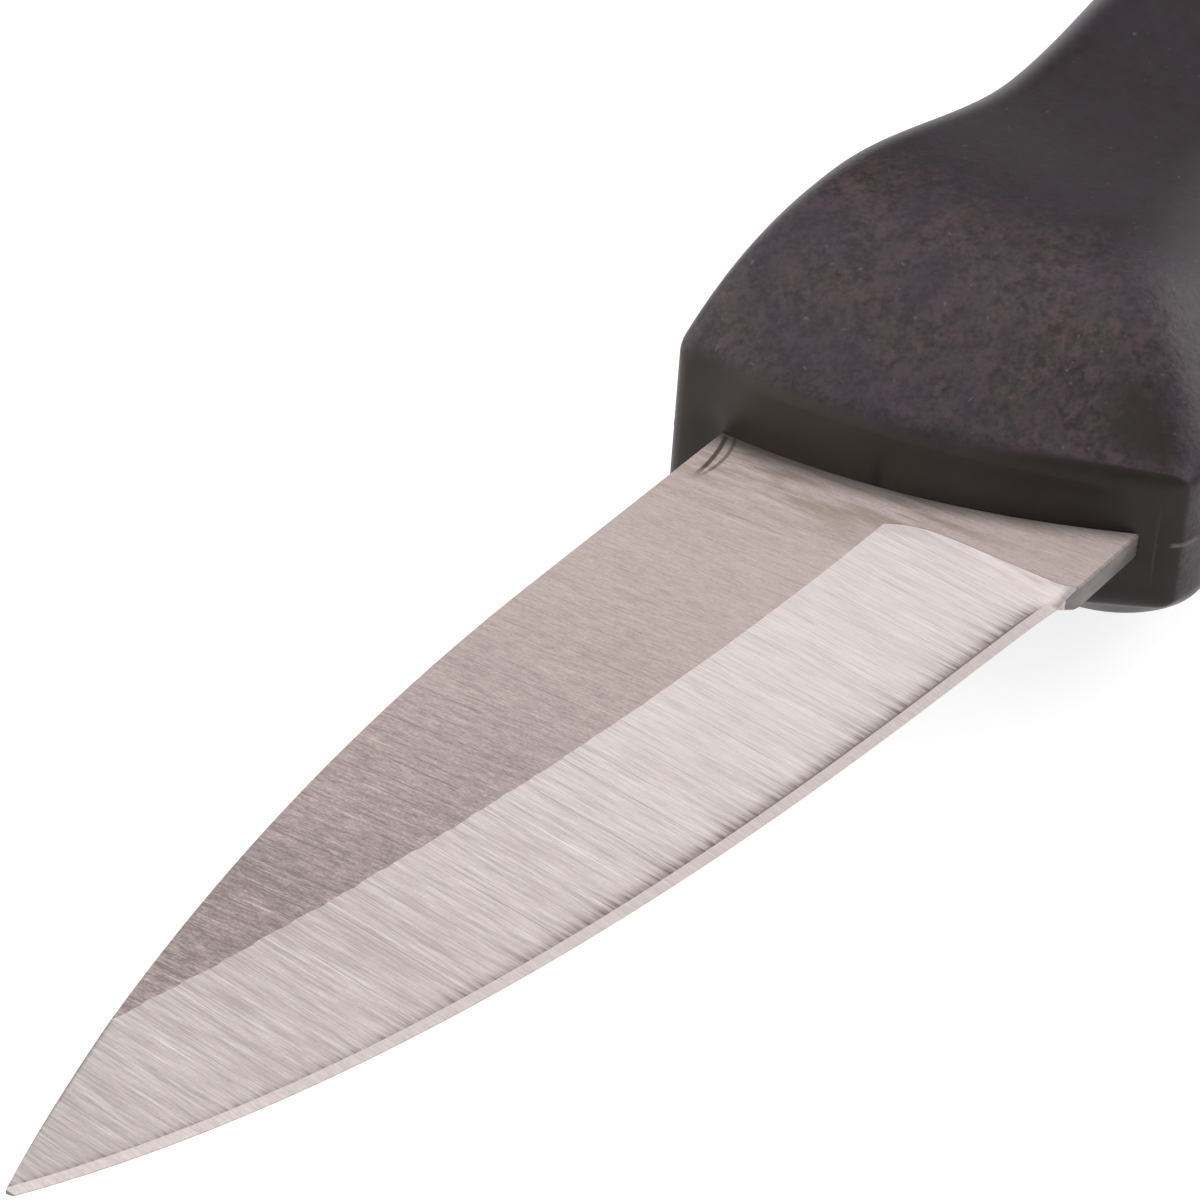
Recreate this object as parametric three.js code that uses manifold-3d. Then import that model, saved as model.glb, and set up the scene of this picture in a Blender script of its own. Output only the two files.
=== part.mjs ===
// A paring knife lying on its right side: a stamped stainless blade in a moulded handle, fixed for good.
// X runs from the handle to the tip, Y from the spine to the cutting edge and Z up, out of the left cheek.
// Lengths are millimetres. While it is drawn, the blade's spine meets the handle at X 0, Y 0.

import * as THREE from 'three';
import { mergeVertices } from 'three/addons/utils/BufferGeometryUtils.js';
import Module from 'manifold-3d';

const wasm = await Module();
wasm.setup();

// Blade blank
const BLADE_LENGTH = 70; // from the handle to the tip
const BLADE_THICKNESS = 1.5;
const BLADE_HEIGHT = 22.5; // from the spine to the lower edge of the unground strip
const SPINE_STRAIGHT = 18; // the spine runs level this far, then drops in one arc
const TIP_DROP = 8; // how far the spine has dropped at the tip
const TIP_BLUNT = 0.45; // height of the blunted tip

// Cutting edge, a cubic curve from the heel to the tip
const HEEL_FORWARD = 0.8; // in front of the handle
const HEEL_RISE = 0.2; // above the lower edge of the unground strip
const HEEL_RAKE_DEG = 19.9;
const HEEL_PULL = 3.7;
const TIP_RAKE_DEG = 29.6;
const TIP_PULL = 27;

// Ground bevels, alike on both cheeks
const GRIND_DROP = 11.4; // from the spine to the grind line, at its rear end
const GRIND_RUNOUT = 58.6; // where the grind line runs out on the spine
const GRIND_BELLY = 1.55; // how far the grind line bows from its chord
const PLUNGE_RAMP = 1.1; // length over which the grind runs up to full thickness
const MICRO_WIDTH = 0.65; // the bright sharpened band along the edge
const MICRO_THICKNESS = 0.3; // blade thickness where that band starts
const EDGE_THICKNESS = 0.06;

// Tang, hidden in the handle
const SEAM_FORWARD = 2; // exposed blade and tang are joined on a line this far in front of the handle
const SHOULDER_BACK = 11; // the full height of the blank runs this far into the handle
const TANG_DROP = 4; // from the spine down to the tang
const TANG_HEIGHT = 11;
const TANG_CORNER = 2.5;
const TANG_COVER = 26; // handle left behind the end of the tang
const ANCHOR_HOLE = 5;
const ANCHOR_COUNT = 3;
const ANCHOR_MARGIN = 12; // from the shoulder and the tang's end to the nearest holes

// Handle, from the nose back: distances between its named stations
const NOSE_TO_GUARD = 15;
const GUARD_TO_WAIST = 17;
const WAIST_TO_PALM = 22;
const PALM_TO_BUTT = 52;

// How far the handle stands above the line of the spine
const NOSE_ABOVE = 3.3;
const GUARD_ABOVE = 3.6;
const WAIST_ABOVE = 2.5;
const PALM_ABOVE = 4.2;
const BUTT_ABOVE = 1;

// How far it reaches below the lower edge of the unground strip; the finger groove and butt stay above it
const NOSE_BELOW = 1.7;
const GUARD_BELOW = 2;
const WAIST_BELOW = -1.1;
const PALM_BELOW = 3.1;
const BUTT_BELOW = -0.5;

// Thickness. Guard and palm share one value, so the knife lies level on its side
const NOSE_SPINE_THICKNESS = 11.2;
const NOSE_EDGE_THICKNESS = 8.2;
const HANDLE_THICKNESS = 21;
const WAIST_THICKNESS = 18;
const BUTT_THICKNESS = 17.2;

// Corner radii of the section along the spine side and along the edge side
const NOSE_SPINE_ROUND = 1.4;
const GUARD_SPINE_ROUND = 2.9;
const WAIST_SPINE_ROUND = 3.4;
const PALM_SPINE_ROUND = 5;
const BUTT_SPINE_ROUND = 6;
const NOSE_EDGE_ROUND = 0.6;
const GUARD_EDGE_ROUND = 9.5;
const WAIST_EDGE_ROUND = 8;
const PALM_EDGE_ROUND = 9;
const BUTT_EDGE_ROUND = 7;

// Slopes just behind the nose, in millimetres per millimetre back
const SPINE_FLARE = 0.72;
const EDGE_FLARE = 0.04;
const EDGE_SLOPE = 0.19;
const EDGE_ROUND_GROWTH = 0.32;

// Nose and butt
const NOSE_LEAN = 6.6; // the front face leans back this far at the lower edge of the blade
const NOSE_LEAN_POWER = 1.8;
const NOSE_LEAN_FADE = 26; // the lean has died out this far back
const RIM_ROUND = 1.1; // round between the front face and the sides
const BUTT_ROUND = 16; // length of the domed end
const BUTT_DOME_POWER = 2.4; // 2 is an ellipse, more is blunter

// Outer skin over the core
const SKIN = 1.6;
const SKIN_AT_NOSE = 0.6;
const SKIN_RUN = 16; // the skin thickens over this length
const KEY_LENGTH = 8; // grooves of the core that the skin is keyed into, at waist and palm
const KEY_DEPTH = 0.8;

// Gap between neighbouring pieces, and a margin by which a cutting solid passes what it cuts
const GAP = 0.3;
const CUT_MARGIN = 2;

// Smallest corner radius of an inner section, and how near points of a solid are taken for one
const LEAST_ROUND = 0.3;
const WELD = 1e-4;

// Fineness of the facets
const ARC_STEPS = 4;
const SIDE_STEPS = 4;
const DOME_STEPS = 6;
const STATION_STEP = 4;
const CURVE_SEGMENTS = 16;
const BEVEL_STEPS = 20;
const EDGE_POINTS = 128;
const PEG_SIDES = 20;

// Turns a closed three.js geometry into a solid for joining and cutting.
function solidOf(geometry) {
  const bare = geometry.index ? geometry.toNonIndexed() : geometry.clone();
  bare.deleteAttribute('normal');
  bare.deleteAttribute('uv');
  const merged = mergeVertices(bare, WELD);
  const corners = merged.index.array;
  const triangles = [];
  for (let i = 0; i < corners.length; i += 3) {
    const [a, b, c] = corners.slice(i, i + 3);
    if (a !== b && b !== c && c !== a) triangles.push(a, b, c);
  }
  const mesh = new wasm.Mesh({
    numProp: 3,
    vertProperties: merged.attributes.position.array,
    triVerts: new Uint32Array(triangles),
  });
  return new wasm.Manifold(mesh);
}

function geometryOf(solid) {
  const { vertProperties, triVerts } = solid.getMesh();
  const geometry = new THREE.BufferGeometry();
  geometry.setAttribute('position', new THREE.BufferAttribute(vertProperties, 3));
  geometry.setIndex(new THREE.BufferAttribute(triVerts, 1));
  geometry.computeVertexNormals();
  return geometry;
}

// Skins a row of rings of equal length, given from the tip's end backwards. The end rings have no area.
function loft(rings) {
  const count = rings[0].length;
  const corners = [];
  for (let i = 0; i + 1 < rings.length; i++) {
    for (let j = 0; j < count; j++) {
      const next = (j + 1) % count;
      const [a, b] = [rings[i][j], rings[i][next]];
      const [d, c] = [rings[i + 1][j], rings[i + 1][next]];
      corners.push(a, b, c, a, c, d);
    }
  }
  return solidOf(new THREE.BufferGeometry().setFromPoints(corners));
}

// Closing rings: drawn together in one point, or pressed flat on the mid-plane of the knife.
function gathered(ring) {
  const middle = new THREE.Vector3();
  ring.forEach((point) => middle.addScaledVector(point, 1 / ring.length));
  return ring.map(() => middle);
}

function pressed(ring) {
  return ring.map((point) => new THREE.Vector3(point.x, point.y, 0));
}

// A flat plate of the given outline, centred on the mid-plane.
function plate(shape, thickness) {
  const options = { depth: thickness, bevelEnabled: false, curveSegments: CURVE_SEGMENTS };
  const geometry = new THREE.ExtrudeGeometry(shape, options);
  geometry.translate(0, 0, -thickness / 2);
  return solidOf(geometry);
}

// Height of a curve at x, by walking along it.
function heightAt(points, x) {
  let i = 1;
  while (i < points.length - 1 && points[i].x < x) i++;
  const [a, b] = [points[i - 1], points[i]];
  return THREE.MathUtils.mapLinear(x, a.x, b.x, a.y, b.y);
}

// Centre and radius of the arc that bows by sagitta, towards greater y, from the chord between two points.
function bowedArc(start, end, sagitta) {
  const chord = end.clone().sub(start);
  const radius = (chord.length() ** 2) / (8 * sagitta) + sagitta / 2;
  const outward = new THREE.Vector2(-chord.y, chord.x).normalize();
  const centre = start.clone().lerp(end, 0.5).addScaledVector(outward, sagitta - radius);
  return { centre, radius };
}

// Blade outline: a level spine that drops in one arc to the tip, and the curved edge
const spineRun = BLADE_LENGTH - SPINE_STRAIGHT;
const spineRadius = (spineRun ** 2 + TIP_DROP ** 2) / (2 * TIP_DROP);

function spineAt(x) {
  const along = Math.max(x - SPINE_STRAIGHT, 0);
  return spineRadius - Math.sqrt(spineRadius ** 2 - along ** 2);
}

const heel = new THREE.Vector2(HEEL_FORWARD, BLADE_HEIGHT - HEEL_RISE);
const tip = new THREE.Vector2(BLADE_LENGTH, TIP_DROP + TIP_BLUNT);
const heelRake = THREE.MathUtils.degToRad(HEEL_RAKE_DEG);
const tipRake = THREE.MathUtils.degToRad(TIP_RAKE_DEG);
const heelPull = new THREE.Vector2(Math.cos(heelRake), -Math.sin(heelRake)).multiplyScalar(HEEL_PULL);
const tipPull = new THREE.Vector2(-Math.cos(tipRake), Math.sin(tipRake)).multiplyScalar(TIP_PULL);
const heelControl = heel.clone().add(heelPull);
const tipControl = tip.clone().add(tipPull);
const edgeCurve = new THREE.CubicBezierCurve(heel, heelControl, tipControl, tip);
const edgePoints = edgeCurve.getPoints(EDGE_POINTS);

const grindStart = new THREE.Vector2(HEEL_FORWARD, GRIND_DROP);
const grindEnd = new THREE.Vector2(GRIND_RUNOUT, spineAt(GRIND_RUNOUT));
const grind = bowedArc(grindStart, grindEnd, GRIND_BELLY);

function grindAt(x) {
  return grind.centre.y + Math.sqrt(grind.radius ** 2 - (x - grind.centre.x) ** 2);
}

// Where the front face of the handle lies behind X 0, at a height y.
function leanAt(y) {
  return NOSE_LEAN * (Math.max(y, 0) / BLADE_HEIGHT) ** NOSE_LEAN_POWER;
}

// Places behind the nose where the handle, the tang and the handle's straight run end
const handleLength = NOSE_TO_GUARD + GUARD_TO_WAIST + WAIST_TO_PALM + PALM_TO_BUTT;
const tangEnd = handleLength - TANG_COVER;
const domeStart = handleLength - BUTT_ROUND;

// The blank in front of the handle.
function exposedShape() {
  const shape = new THREE.Shape();
  shape.moveTo(SEAM_FORWARD, 0);
  shape.lineTo(SPINE_STRAIGHT, 0);
  const tipAngle = Math.asin(spineRun / spineRadius) - Math.PI / 2;
  shape.absarc(SPINE_STRAIGHT, spineRadius, spineRadius, -Math.PI / 2, tipAngle, false);
  shape.lineTo(tip.x, tip.y);
  shape.bezierCurveTo(tipControl.x, tipControl.y, heelControl.x, heelControl.y, heel.x, heel.y);
  shape.lineTo(heel.x - HEEL_RISE, BLADE_HEIGHT);
  shape.lineTo(SEAM_FORWARD - NOSE_LEAN, BLADE_HEIGHT);
  return shape;
}

// The blank inside the handle, grown by a clearance; its front runs on to the seam, or past it.
function tangShape(clearance, forward) {
  const top = TANG_DROP - clearance;
  const bottom = TANG_DROP + TANG_HEIGHT + clearance;
  const rear = -tangEnd - clearance;
  const shoulder = -SHOULDER_BACK - clearance;
  const corner = TANG_CORNER + clearance;
  const shape = new THREE.Shape();
  shape.moveTo(forward, -clearance);
  shape.lineTo(forward - NOSE_LEAN, BLADE_HEIGHT + clearance);
  shape.lineTo(shoulder, BLADE_HEIGHT + clearance);
  shape.lineTo(shoulder, bottom);
  shape.lineTo(rear + corner, bottom);
  shape.absarc(rear + corner, bottom - corner, corner, Math.PI / 2, Math.PI, false);
  shape.absarc(rear + corner, top + corner, corner, Math.PI, 1.5 * Math.PI, false);
  shape.lineTo(shoulder, top);
  shape.lineTo(shoulder, -clearance);
  return shape;
}

// Centres of the anchor holes, evenly spread along the tang.
function anchorCentres() {
  const first = SHOULDER_BACK + ANCHOR_MARGIN;
  const last = tangEnd - ANCHOR_MARGIN;
  const centres = [];
  for (let i = 0; i < ANCHOR_COUNT; i++) {
    const back = THREE.MathUtils.lerp(first, last, i / (ANCHOR_COUNT - 1));
    centres.push(new THREE.Vector2(-back, TANG_DROP + TANG_HEIGHT / 2));
  }
  return centres;
}

// A wedge that grinds one cheek down from an upper to a lower line. It lifts off over the plunge ramp.
function bevelCutter(side, upper, lower) {
  const plunge = HEEL_FORWARD - PLUNGE_RAMP / 2;
  const rings = [];
  const addRing = (x, lift) => {
    const [a, b] = [upper(x), lower(x)];
    const level = (y) => THREE.MathUtils.mapLinear(y, a.y, b.y, a.half, b.half) + lift;
    const [low, high] = [a.y - CUT_MARGIN, b.y + CUT_MARGIN];
    const roof = CUT_MARGIN + BLADE_THICKNESS;
    const ring = [[low, roof], [high, roof], [high, level(high)], [low, level(low)]];
    if (side < 0) ring.reverse();
    rings.push(ring.map(([y, z]) => new THREE.Vector3(x, y, side * z)));
  };
  for (let i = 0; i <= BEVEL_STEPS; i++) {
    addRing(THREE.MathUtils.lerp(BLADE_LENGTH + CUT_MARGIN, plunge + PLUNGE_RAMP, i / BEVEL_STEPS), 0);
  }
  addRing(plunge, BLADE_THICKNESS / 2);
  return loft([gathered(rings[0]), ...rings, gathered(rings.at(-1))]);
}

function makeBlade() {
  const tang = tangShape(0, SEAM_FORWARD);
  for (const centre of anchorCentres()) {
    tang.holes.push(new THREE.Path().absarc(centre.x, centre.y, ANCHOR_HOLE / 2, 0, 2 * Math.PI, true));
  }
  const edgeAt = (x) => heightAt(edgePoints, x);
  const grindLine = (x) => ({ y: grindAt(x), half: BLADE_THICKNESS / 2 });
  const microLine = (x) => ({ y: edgeAt(x) - MICRO_WIDTH, half: MICRO_THICKNESS / 2 });
  const edgeLine = (x) => ({ y: edgeAt(x), half: EDGE_THICKNESS / 2 });
  let blade = plate(exposedShape(), BLADE_THICKNESS);
  for (const side of [1, -1]) {
    blade = blade.subtract(bevelCutter(side, grindLine, microLine));
    blade = blade.subtract(bevelCutter(side, microLine, edgeLine));
  }
  return blade.add(plate(tang, BLADE_THICKNESS));
}

// Stations of the handle, each with its place behind the nose and the sizes of its section
const nose = {
  back: 0,
  top: -NOSE_ABOVE,
  bottom: BLADE_HEIGHT + NOSE_BELOW,
  spineHalf: NOSE_SPINE_THICKNESS / 2,
  edgeHalf: NOSE_EDGE_THICKNESS / 2,
  spineRound: NOSE_SPINE_ROUND,
  edgeRound: NOSE_EDGE_ROUND,
};
const guard = {
  back: NOSE_TO_GUARD,
  top: -GUARD_ABOVE,
  bottom: BLADE_HEIGHT + GUARD_BELOW,
  spineHalf: HANDLE_THICKNESS / 2,
  edgeHalf: HANDLE_THICKNESS / 2,
  spineRound: GUARD_SPINE_ROUND,
  edgeRound: GUARD_EDGE_ROUND,
};
const waist = {
  back: NOSE_TO_GUARD + GUARD_TO_WAIST,
  top: -WAIST_ABOVE,
  bottom: BLADE_HEIGHT + WAIST_BELOW,
  spineHalf: WAIST_THICKNESS / 2,
  edgeHalf: WAIST_THICKNESS / 2,
  spineRound: WAIST_SPINE_ROUND,
  edgeRound: WAIST_EDGE_ROUND,
};
const palm = {
  back: handleLength - PALM_TO_BUTT,
  top: -PALM_ABOVE,
  bottom: BLADE_HEIGHT + PALM_BELOW,
  spineHalf: HANDLE_THICKNESS / 2,
  edgeHalf: HANDLE_THICKNESS / 2,
  spineRound: PALM_SPINE_ROUND,
  edgeRound: PALM_EDGE_ROUND,
};
const butt = {
  back: handleLength,
  top: -BUTT_ABOVE,
  bottom: BLADE_HEIGHT + BUTT_BELOW,
  spineHalf: BUTT_THICKNESS / 2,
  edgeHalf: BUTT_THICKNESS / 2,
  spineRound: BUTT_SPINE_ROUND,
  edgeRound: BUTT_EDGE_ROUND,
};
const stations = [nose, guard, waist, palm, butt];

const noseSlopes = {
  top: 0,
  bottom: EDGE_SLOPE,
  spineHalf: SPINE_FLARE,
  edgeHalf: EDGE_FLARE,
  spineRound: 0,
  edgeRound: EDGE_ROUND_GROWTH,
};

// Section sizes at any place: each eases from station to station, level at every one but the nose.
function sizesAt(back) {
  let i = 0;
  while (i < stations.length - 2 && stations[i + 1].back <= back) i++;
  const [from, to] = [stations[i], stations[i + 1]];
  const length = to.back - from.back;
  const share = THREE.MathUtils.clamp((back - from.back) / length, 0, 1);
  const eased = THREE.MathUtils.smoothstep(share, 0, 1);
  const sizes = {};
  for (const [name, slope] of Object.entries(noseSlopes)) {
    sizes[name] = THREE.MathUtils.lerp(from[name], to[name], eased);
    if (i === 0) sizes[name] += slope * length * share * (1 - share) ** 2;
  }
  return sizes;
}

// One ring round the handle, set in from its outside: four rounded corners, joined by straight sides.
function handleRing(back, inset) {
  const sizes = sizesAt(back);
  const top = sizes.top + inset;
  const bottom = sizes.bottom - inset;
  const half = sizes.spineHalf - inset;
  const taper = (sizes.edgeHalf - inset) / half;
  const most = Math.min(half, (bottom - top) / 2) - LEAST_ROUND;
  const spineRound = THREE.MathUtils.clamp(sizes.spineRound - inset, LEAST_ROUND, most);
  const edgeRound = THREE.MathUtils.clamp(sizes.edgeRound - inset, LEAST_ROUND, most);
  const left = [];
  const addArc = (centre, round, startAngle) => {
    for (let k = 0; k <= ARC_STEPS; k++) {
      const angle = startAngle - (Math.PI / 2) * (k / ARC_STEPS);
      left.push([centre + round * Math.cos(angle), half - round + round * Math.sin(angle)]);
    }
  };
  addArc(top + spineRound, spineRound, Math.PI);
  for (let k = 1; k < SIDE_STEPS; k++) {
    left.push([THREE.MathUtils.lerp(top + spineRound, bottom - edgeRound, k / SIDE_STEPS), half]);
  }
  addArc(bottom - edgeRound, edgeRound, Math.PI / 2);

  const domeShare = THREE.MathUtils.clamp((back - domeStart) / (BUTT_ROUND - inset), 0, 1);
  const shrink = (1 - domeShare ** BUTT_DOME_POWER) ** (1 / BUTT_DOME_POWER);
  const middle = (top + bottom) / 2;
  const fade = Math.max(1 - back / NOSE_LEAN_FADE, 0) ** 2;
  const place = ([y, z], side) => {
    const x = -back - leanAt(y) * fade;
    const narrowed = z * THREE.MathUtils.mapLinear(y, top, bottom, 1, taper);
    return new THREE.Vector3(x, middle + (y - middle) * shrink, side * narrowed * shrink);
  };
  const right = left.map((point) => place(point, -1)).reverse();
  return [...left.map((point) => place(point, 1)), ...right];
}

// Places along the handle for a ring: even steps up to the dome, then closer as the dome draws in.
function ringPlaces(start, inset) {
  const places = [];
  const steps = Math.ceil((domeStart - start) / STATION_STEP);
  for (let i = 0; i <= steps; i++) places.push(THREE.MathUtils.lerp(start, domeStart, i / steps));
  for (let i = 1; i <= DOME_STEPS; i++) {
    places.push(domeStart + (BUTT_ROUND - inset) * Math.sin((Math.PI / 2) * (i / DOME_STEPS)));
  }
  return places;
}

// The handle's full outside, with the round rim of its front face.
function handleOutside() {
  const rings = [];
  for (let i = 0; i < ARC_STEPS; i++) {
    const angle = (Math.PI / 2) * (i / ARC_STEPS);
    rings.push(handleRing(RIM_ROUND * (1 - Math.cos(angle)), RIM_ROUND * (1 - Math.sin(angle))));
  }
  for (const back of ringPlaces(RIM_ROUND, 0)) rings.push(handleRing(back, 0));
  return loft([pressed(rings[0]), ...rings]);
}

// Depth of the meeting surface of skin and core, below the handle's outside.
function skinAt(back) {
  return THREE.MathUtils.lerp(SKIN_AT_NOSE, SKIN, THREE.MathUtils.smoothstep(back, 0, SKIN_RUN));
}

// The solid inside that surface, set in further by a slack. It steps in at the keys, which a slack makes
// longer, and its flat front may run forward of the nose.
function handleInside(slack, forward) {
  const reach = KEY_LENGTH / 2 + slack;
  const keyStarts = [waist.back - reach, palm.back - reach];
  const keyEnds = [waist.back + reach, palm.back + reach];
  const places = new Set([...ringPlaces(0, SKIN + slack), ...keyStarts, ...keyEnds]);
  const inKey = (back) => keyStarts.some((start, i) => back > start && back < keyEnds[i]);
  const rings = [];
  for (const back of [...places].sort((a, b) => a - b)) {
    const plain = handleRing(back, skinAt(back) + slack);
    const sunk = handleRing(back, skinAt(back) + slack + KEY_DEPTH);
    if (keyStarts.includes(back)) rings.push(plain, sunk);
    else if (keyEnds.includes(back)) rings.push(sunk, plain);
    else rings.push(inKey(back) ? sunk : plain);
  }
  const ahead = new THREE.Vector3(forward, 0, 0);
  const front = rings[0].map((point) => point.clone().add(ahead));
  return loft([pressed(front), front, ...rings]);
}

function makeGrip() {
  return handleOutside().subtract(handleInside(0, CUT_MARGIN + RIM_ROUND));
}

// The core is moulded round the tang: a pocket of the tang's shape, crossed by a peg in each anchor hole.
function makeCore() {
  const pocketThickness = BLADE_THICKNESS + 2 * GAP;
  const pocket = plate(tangShape(GAP, SEAM_FORWARD + CUT_MARGIN), pocketThickness);
  let core = handleInside(GAP, 0).subtract(pocket);
  for (const centre of anchorCentres()) {
    const radius = ANCHOR_HOLE / 2 - GAP;
    const peg = new THREE.CylinderGeometry(radius, radius, pocketThickness + GAP, PEG_SIDES);
    peg.rotateX(Math.PI / 2);
    peg.translate(centre.x, centre.y, 0);
    core = core.add(solidOf(peg));
  }
  return core;
}

const steel = new THREE.MeshStandardMaterial({ color: 0xb3aca8, roughness: 0.35, metalness: 1 });
const hardPlastic = new THREE.MeshStandardMaterial({ color: 0x2c2926, roughness: 0.5, metalness: 0 });
const grainedSkin = new THREE.MeshStandardMaterial({ color: 0x3b3739, roughness: 0.8, metalness: 0 });

function named(name, solid, material) {
  const mesh = new THREE.Mesh(geometryOf(solid), material);
  mesh.name = name;
  return mesh;
}

// The knife stands in its group so that the middle of its underside is the origin.
const knife = new THREE.Group();
knife.add(named('blade', makeBlade(), steel));
knife.add(named('handle_core', makeCore(), hardPlastic));
knife.add(named('handle_grip', makeGrip(), grainedSkin));
const extent = new THREE.Box3().setFromObject(knife);
const middle = extent.getCenter(new THREE.Vector3());
knife.position.set(-middle.x, -middle.y, -extent.min.z);

const group = new THREE.Group();
group.add(knife);

export default group;
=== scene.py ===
"""A paring knife on its right side on a white floor: a brushed stainless blade in a moulded black handle.

Lengths are millimetres in the drawing frame: X runs to the tip, Y from the spine to the edge, Z out of the
left cheek, and the spine meets the handle at X 0, Y 0 on the mid-plane of the blade.
"""

import math

import bmesh
import bpy
import numpy as np
from mathutils import Euler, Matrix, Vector


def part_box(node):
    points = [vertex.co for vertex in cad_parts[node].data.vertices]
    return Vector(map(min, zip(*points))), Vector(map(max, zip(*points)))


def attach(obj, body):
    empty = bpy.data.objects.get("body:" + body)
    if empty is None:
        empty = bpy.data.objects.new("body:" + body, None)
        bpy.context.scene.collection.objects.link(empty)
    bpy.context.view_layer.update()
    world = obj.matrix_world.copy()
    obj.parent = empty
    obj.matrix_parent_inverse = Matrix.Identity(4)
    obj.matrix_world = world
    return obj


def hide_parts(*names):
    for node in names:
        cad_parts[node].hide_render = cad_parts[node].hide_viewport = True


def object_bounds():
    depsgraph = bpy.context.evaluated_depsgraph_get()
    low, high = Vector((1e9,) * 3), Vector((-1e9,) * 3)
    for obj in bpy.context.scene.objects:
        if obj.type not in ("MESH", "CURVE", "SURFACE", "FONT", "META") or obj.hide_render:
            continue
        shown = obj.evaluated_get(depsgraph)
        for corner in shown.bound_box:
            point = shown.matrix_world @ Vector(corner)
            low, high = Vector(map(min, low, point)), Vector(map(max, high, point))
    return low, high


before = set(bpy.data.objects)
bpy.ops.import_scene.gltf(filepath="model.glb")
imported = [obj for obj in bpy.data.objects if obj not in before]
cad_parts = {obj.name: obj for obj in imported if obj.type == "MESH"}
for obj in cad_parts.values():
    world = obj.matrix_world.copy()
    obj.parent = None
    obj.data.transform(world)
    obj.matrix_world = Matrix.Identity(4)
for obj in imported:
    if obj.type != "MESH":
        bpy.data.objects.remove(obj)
cad_low, cad_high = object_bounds()

MM = 0.001

# Blade blank
BLADE_LENGTH = 70.0
BLADE_HALF = 0.75
BLADE_HEIGHT = 22.5
SPINE_STRAIGHT = 18.0
TIP_DROP = 8.0
TIP_BLUNT = 0.45
SPINE_CORNER = 0.015  # the blank's corners are broken by this much
LOWER_CORNER = 0.1

# Cutting edge, a cubic curve from the heel to the tip
HEEL = (0.8, 22.3)
HEEL_PULL = 3.7
HEEL_RAKE_DEG = 19.9
TIP_PULL = 27.0
TIP_RAKE_DEG = 29.6
EDGE_HALF = 0.03
EDGE_STEPS = 400
MICRO_WIDTH = 0.58
MICRO_HALF = 0.15

# Ground bevel: the grind line bows from its chord and wavers (height, wave length, phase), more to the tip
GRIND_DROP = 11.4
GRIND_RUNOUT = 58.6
GRIND_BELLY = 1.55
GRIND_WAVES = ((0.03, 7.3, 0.6), (0.035, 2.3, 2.1), (0.025, 1.1, 4.0))
GRIND_WAVE_GROWTH = (8.0, 45.0)

# Plunge, where the grind runs up to the full thickness in front of the handle
PLUNGE_X = 0.32
PLUNGE_SWEEP = 1.1  # the plunge line swings forward by this much at the grind line
PLUNGE_SWEEP_START = 16.0
PLUNGE_SWEEP_POWER = 3.5
PLUNGE_RUN = 1.3  # the wheel's round: the thickness falls off over this length
PLUNGE_HOLLOW = (3.0, 1.0)  # power of that fall along the plunge, and flat at the heel
HEEL_TURN_START = 21.6  # near the edge the line turns back to the lower corner of the blank
HOLLOW_FADE = (21.0, 21.9)  # the hollow of the plunge ends between these
HEEL_TURN = 0.38
HEEL_BACK = -0.06
HEEL_FRONT = 1.0

# Tang
TANG_FRONT = -10.7
TANG_REAR = -80.0
TANG_TOP = 4.0
TANG_BOTTOM = 15.0

# Handle stations: nose, guard, waist, palm and butt
# The edge side is rounded in an oval, edge_round wide in Z and edge_rise high in Y
STATION_BACK = (0.0, 15.0, 32.0, 54.0, 106.0)
SECTIONS = {
    "top": (-3.3, -3.6, -2.5, -4.2, -1.0),
    "bottom": (24.2, 24.5, 21.4, 25.6, 22.0),
    "spine_half": (5.6, 10.5, 9.0, 10.5, 8.6),
    "edge_half": (4.1, 10.5, 9.0, 10.5, 8.6),
    "spine_round": (1.4, 2.9, 3.4, 5.0, 6.0),
    "edge_round": (0.6, 9.5, 8.0, 9.0, 7.0),
    "edge_rise": (0.6, 10.0, 10.8, 9.0, 7.0),
}
NOSE_SLOPES = {"bottom": 0.19, "spine_half": 0.72, "edge_half": 0.04, "edge_round": 0.32, "edge_rise": 0.32}
NOSE_LEAN = 6.6
NOSE_LEAN_POWER = 1.8
NOSE_LEAN_FADE = 26.0
MOUTH_REACH = 2.3
MOUTH_DROP = 0.38
MOUTH_LEAN = 6.0
MOUTH_LEAN_POWER = 2.1
RIM_ROUND = 1.1
BUTT_ROUND = 16.0
BUTT_DOME_POWER = 2.4
LEAST_ROUND = 0.3
RIDGE_HEIGHT = 0.09  # the mould's parting line, a fine ridge along the mid-plane
SPINE_RIDGE_SHARE = 0.3
RIDGE_HALF = 0.2

# Skin and core
SEAM_INSET = 0.9  # the grained skin ends this far inside the outline of the nose
SKIN = 1.6
SKIN_RUN = 16.0
FIT = 0.02  # play left between neighbouring pieces

# Camera, in the drawing frame
CAMERA_AT = (212.43, 125.17, 164.01)
CAMERA_TURN_DEG = (54.614, -3.402, 124.245)
CAMERA_LENS = 164.668
CAMERA_SENSOR = 36.0
CAMERA_NEAR = 0.01  # metres

HANDLE_LENGTH = STATION_BACK[-1]
DOME_START = HANDLE_LENGTH - BUTT_ROUND

blade_low, blade_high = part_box("blade")
DRAWING_ORIGIN = np.array((
    blade_high.x - BLADE_LENGTH * MM,
    blade_low.y,
    (blade_low.z + blade_high.z) / 2,
))

HANDLE_TOP = (cad_low.y - DRAWING_ORIGIN[1]) / MM
HANDLE_BOTTOM = (cad_high.y - DRAWING_ORIGIN[1]) / MM
HANDLE_HALF = (cad_high.z - cad_low.z) / 2 / MM


def in_metres(points):
    return DRAWING_ORIGIN + np.asarray(points) * MM


def lengths_in_metres(lengths):
    return [length * MM for length in lengths]


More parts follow.
